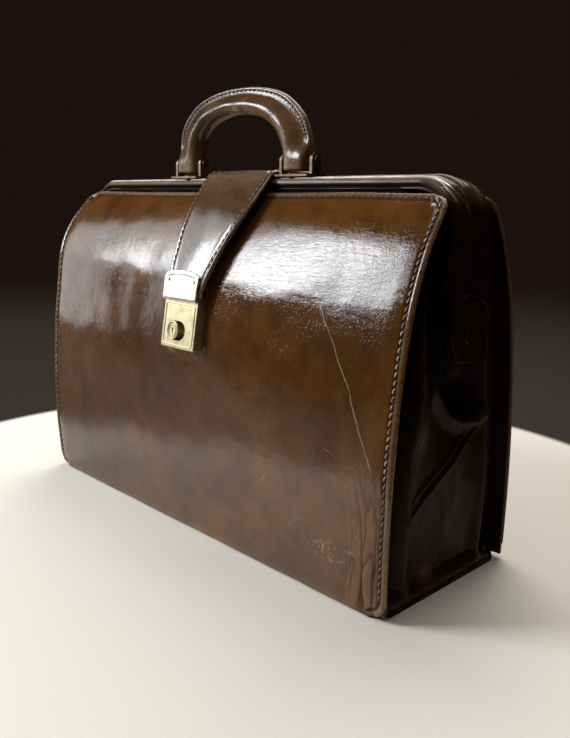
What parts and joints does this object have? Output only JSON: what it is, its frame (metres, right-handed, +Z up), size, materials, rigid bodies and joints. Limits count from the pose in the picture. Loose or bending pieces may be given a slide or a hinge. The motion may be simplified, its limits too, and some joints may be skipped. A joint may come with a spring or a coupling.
{
  "type": "doctor bag",
  "caption": "Leather doctor bag with a hinged steel frame mouth, swinging top handle, over-strap with hasp and a slide lock.",
  "frame": {"origin": "on the surface the bag stands on, under the middle of its base", "axes": "+X along the bag's length, to the right seen from the front; -Y is the front with the lock; +Z up"},
  "size_m": [0.4148, 0.1498, 0.342],
  "materials": {
    "body_leather": "glossy polished chestnut brown bridle leather",
    "gusset_leather": "dark brown pliable leather, satin",
    "frame_leather": "polished brown leather, edge bead",
    "strap_leather": "polished brown leather",
    "handle_leather": "worn brown leather",
    "lining": "tan cotton drill",
    "board": "grey-brown fibre board",
    "brass": "pale worn brass, satin",
    "bracket_brass": "tarnished brass",
    "frame_steel": "flat spring steel",
    "spring_steel": "blued spring leaf",
    "rope": "twisted jute cord"
  },
  "bodies": {
    "base": {"bottom_panel": "body_leather", "bottom_board": "board", "bottom_lining": "lining", "gusset_left": "gusset_leather", "gusset_right": "gusset_leather"},
    "front_side": {"front_panel": "body_leather", "front_lining": "lining", "lock_back_plate": "brass", "lock_case": "brass", "lock_rivets": "brass", "lock_spring": "spring_steel"},
    "lock_slide": {"lock_button": "brass", "latch_bolt": "brass"},
    "key": {"key_cylinder": "brass"},
    "front_frame": {"front_jaw_steel": "frame_steel", "front_jaw_cover": "frame_leather", "front_frame_strip": "frame_leather", "handle_bracket_left": "bracket_brass", "handle_bracket_right": "bracket_brass", "bracket_rivets": "bracket_brass", "handle_pins": "bracket_brass", "frame_rivets": "frame_steel", "frame_washers": "frame_steel"},
    "handle": {"handle_leather": "handle_leather", "handle_core": "rope", "handle_tubes": "bracket_brass"},
    "back_side": {"back_panel": "body_leather", "back_lining": "lining"},
    "back_frame": {"back_jaw_steel": "frame_steel", "back_jaw_cover": "frame_leather", "back_frame_strip": "frame_leather", "strap_rivets": "brass"},
    "strap": {"strap": "strap_leather", "strap_lining": "strap_leather", "hasp_plate": "brass", "hasp_staple": "brass", "hasp_rivets": "brass"}
  },
  "joints": [
    {"name": "mouth_open", "type": "hinge", "parent": "base", "child": "front_side", "pos_m": [0, -0.0695, 0.0015], "axis": [1, 0, 0], "range_deg": [0, 10]},
    {"name": "front_frame_turn", "type": "hinge", "parent": "front_side", "child": "front_frame", "pos_m": [0, -0.0255, 0.258], "axis": [1, 0, 0], "range_deg": [0, 26.6]},
    {"name": "back_side_tilt", "type": "hinge", "parent": "base", "child": "back_side", "pos_m": [0, 0.0695, 0.0015], "axis": [-1, 0, 0], "range_deg": [0, 10.1]},
    {"name": "back_frame_turn", "type": "hinge", "parent": "back_side", "child": "back_frame", "pos_m": [0, 0.0255, 0.258], "axis": [-1, 0, 0], "range_deg": [0, 26.6]},
    {"name": "strap_lift", "type": "hinge", "parent": "back_frame", "child": "strap", "pos_m": [0, 0.004, 0.281], "axis": [-1, 0, 0], "range_deg": [0, 178.5], "deforming": ["strap", "strap_lining"]},
    {"name": "handle_swing", "type": "hinge", "parent": "front_frame", "child": "handle", "pos_m": [0, -0.011, 0.2855], "axis": [1, 0, 0], "range_deg": [-75, 75]},
    {"name": "lock_button_slide", "type": "slide", "parent": "front_side", "child": "lock_slide", "axis": [1, 0, 0], "range_m": [0, 0.006], "stiffness_N_per_m": 60, "springref_m": -0.002},
    {"name": "key_turn", "type": "hinge", "parent": "lock_slide", "child": "key", "pos_m": [-0.005, -0.07313, 0.1593], "axis": [0, -0.9876, 0.1568], "range_deg": [0, 90]}
  ],
  "couplings": [
    {"joint": "front_frame_turn", "follows": "mouth_open", "ratio": 2.65},
    {"joint": "back_side_tilt", "follows": "mouth_open", "ratio": 1},
    {"joint": "back_frame_turn", "follows": "mouth_open", "ratio": 2.65},
    {"joint": "strap_lift", "follows": "mouth_open", "ratio": 17.8}
  ]
}
